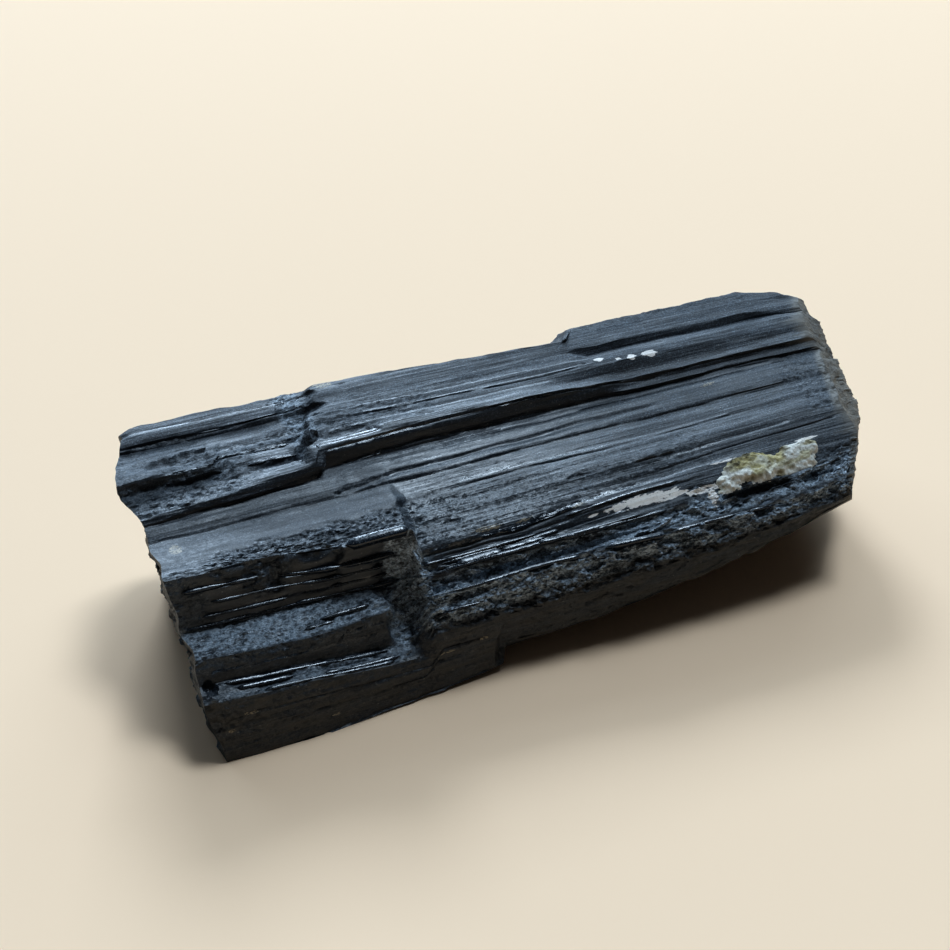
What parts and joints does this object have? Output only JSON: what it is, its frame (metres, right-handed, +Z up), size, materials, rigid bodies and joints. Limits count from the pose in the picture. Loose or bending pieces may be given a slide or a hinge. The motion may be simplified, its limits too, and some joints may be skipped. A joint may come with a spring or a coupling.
{
  "type": "tourmaline crystal",
  "caption": "Black tourmaline prism lying on its side, with lengthwise ribs, ledges and grooves, broken stepped ends and a small patch of pale feldspar crust; a mineral specimen for display.",
  "frame": {"origin": "centre of the bounding box in X and Y, on the flat facet that the crystal rests on", "axes": "+X along the prism from its square break to its lifted, bevelled end, +Y towards its back, +Z up as it lies"},
  "size_m": [0.068, 0.0268, 0.0171],
  "materials": {
    "black_schorl": "vitreous on its faces and duller on broken ground",
    "pale_feldspar": "dull and granular"
  },
  "bodies": {
    "root": {"tourmaline_crystal": "black_schorl", "feldspar_crust": "pale_feldspar"}
  },
  "joints": []
}
